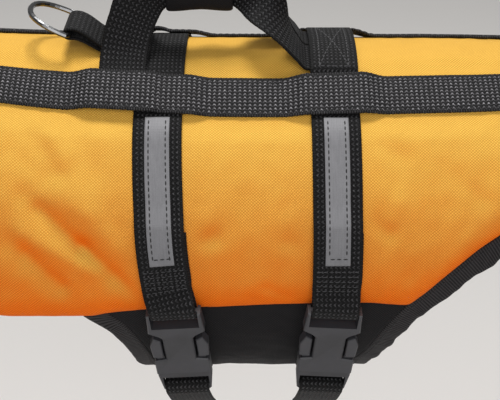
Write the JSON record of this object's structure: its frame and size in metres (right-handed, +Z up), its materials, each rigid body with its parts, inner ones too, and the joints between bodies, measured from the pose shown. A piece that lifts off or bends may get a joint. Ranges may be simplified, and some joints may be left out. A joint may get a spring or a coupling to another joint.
{
  "type": "dog life jacket",
  "caption": "Buoyant life jacket for a dog: foam back and side panels, belly panel, two buckled girth straps, a lifting handle and a lead ring, shaped as worn.",
  "frame": {"origin": "on the spine line, on the inner face of the back, midway between the two girth straps", "axes": "+X to the tail, -X to the head, +Z up, -Y the side with the buckles"},
  "size_m": [0.435, 0.1983, 0.2563],
  "materials": {
    "orange_cloth": "plain woven oxford cloth over soft foam",
    "black_cloth": "plain woven soft cloth, matt",
    "black_webbing": "ribbed woven webbing, slight sheen",
    "black_binding": "ribbed grosgrain tape, gathered by its stitching",
    "reflective_tape": "grey reflective tape, satin",
    "buckle_plastic": "moulded dark grey plastic, satin",
    "ring_steel": "bright plated steel wire"
  },
  "bodies": {
    "jacket": {"back_panel": "orange_cloth", "side_panel_near": "orange_cloth", "side_panel_far": "orange_cloth", "belly_panel": "black_cloth", "chest_band": "black_cloth", "rear_binding": "black_binding", "belly_front_binding": "black_binding", "neck_binding": "black_binding", "back_webbing_near": "black_webbing", "back_webbing_far": "black_webbing", "girth_strap_front": "black_webbing", "girth_strap_rear": "black_webbing", "reflective_front_near": "reflective_tape", "reflective_front_far": "reflective_tape", "reflective_rear_near": "reflective_tape", "reflective_rear_far": "reflective_tape", "buckle_socket_front": "buckle_plastic", "buckle_prong_front": "buckle_plastic", "buckle_socket_rear": "buckle_plastic", "buckle_prong_rear": "buckle_plastic", "handle_webbing_near": "black_webbing", "handle_webbing_far": "black_webbing", "handle_grip": "black_cloth", "ring_loop": "black_webbing"},
    "ring": {"d_ring": "ring_steel"}
  },
  "joints": [
    {"name": "ring_hinge", "type": "hinge", "parent": "jacket", "child": "ring", "pos_m": [-0.095, 0, 0.02136], "axis": [0, 1, 0], "range_deg": [-35, 80]}
  ]
}
